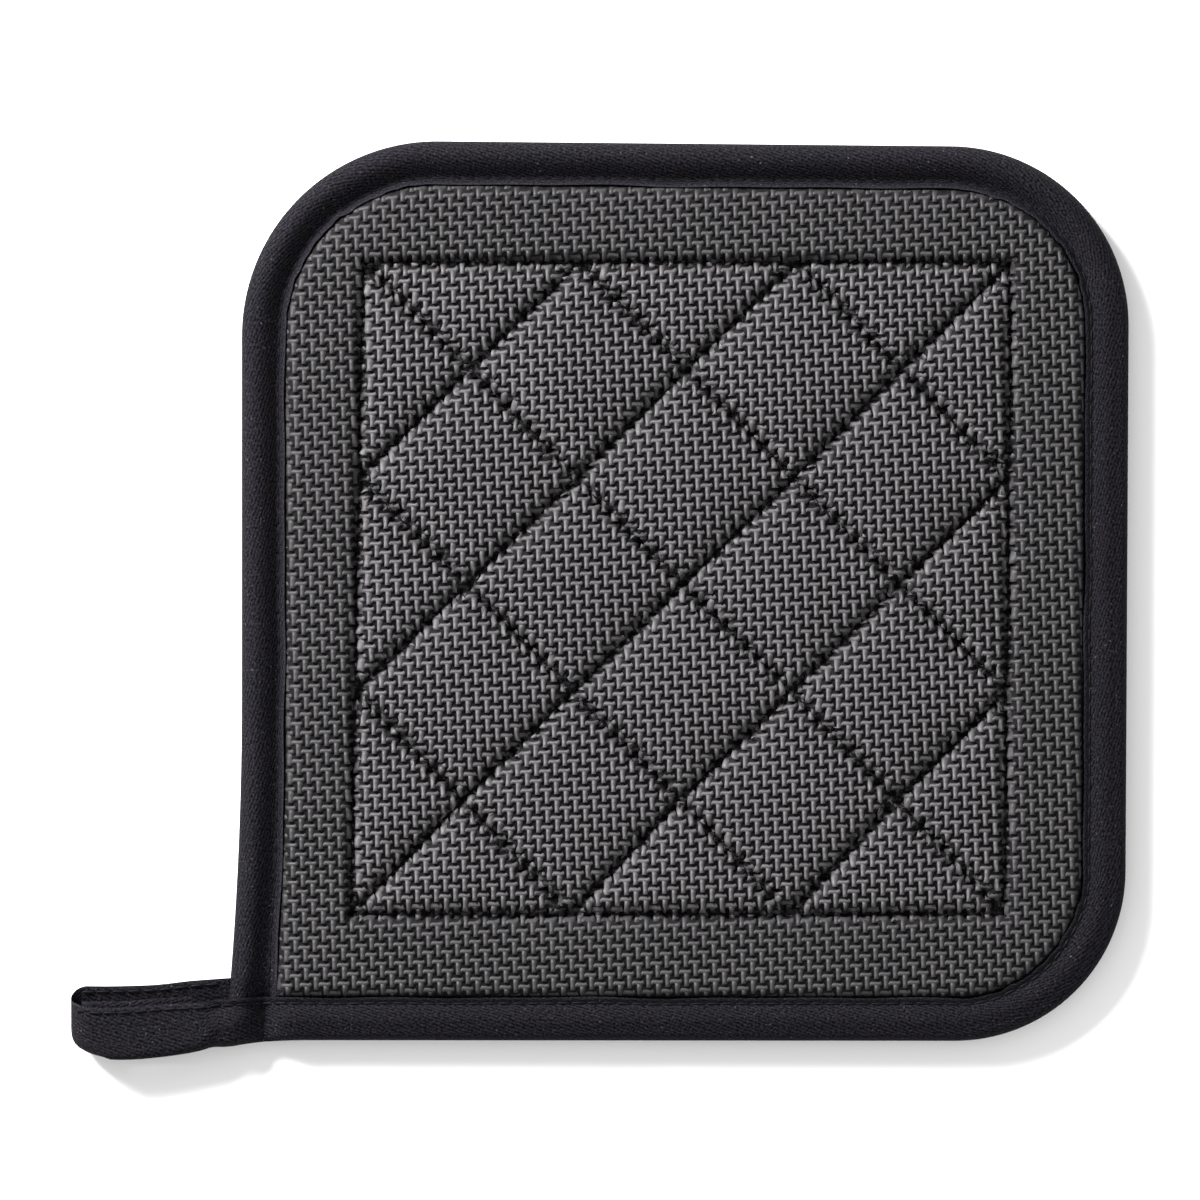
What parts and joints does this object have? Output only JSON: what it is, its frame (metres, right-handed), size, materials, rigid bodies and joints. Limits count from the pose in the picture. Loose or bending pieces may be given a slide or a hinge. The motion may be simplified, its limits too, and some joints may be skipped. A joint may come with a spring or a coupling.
{
  "type": "neoprene pot holder",
  "caption": "Square padded pot holder with a diamond-quilted face, a rounded taped edge and a flat hanging loop at one corner, lying on its back.",
  "frame": {"origin": "under the middle of the whole outline, loop included, on the surface that the pad lies on", "axes": "+X to the right of the quilted face, +Y up its face, +Z out of the face, with the loop at -X and -Y"},
  "size_m": [0.2276, 0.1975, 0.0092],
  "materials": {
    "foam_face": "matte dark grey neoprene, embossed with a small interlocking rib pattern and quilted with black thread",
    "edge_tape": "matte black twill tape with pale lint, one row of stitching along its inner edge"
  },
  "bodies": {
    "root": {"quilted_pad": "foam_face", "edge_binding": "edge_tape", "hanging_loop": "edge_tape"}
  },
  "joints": []
}
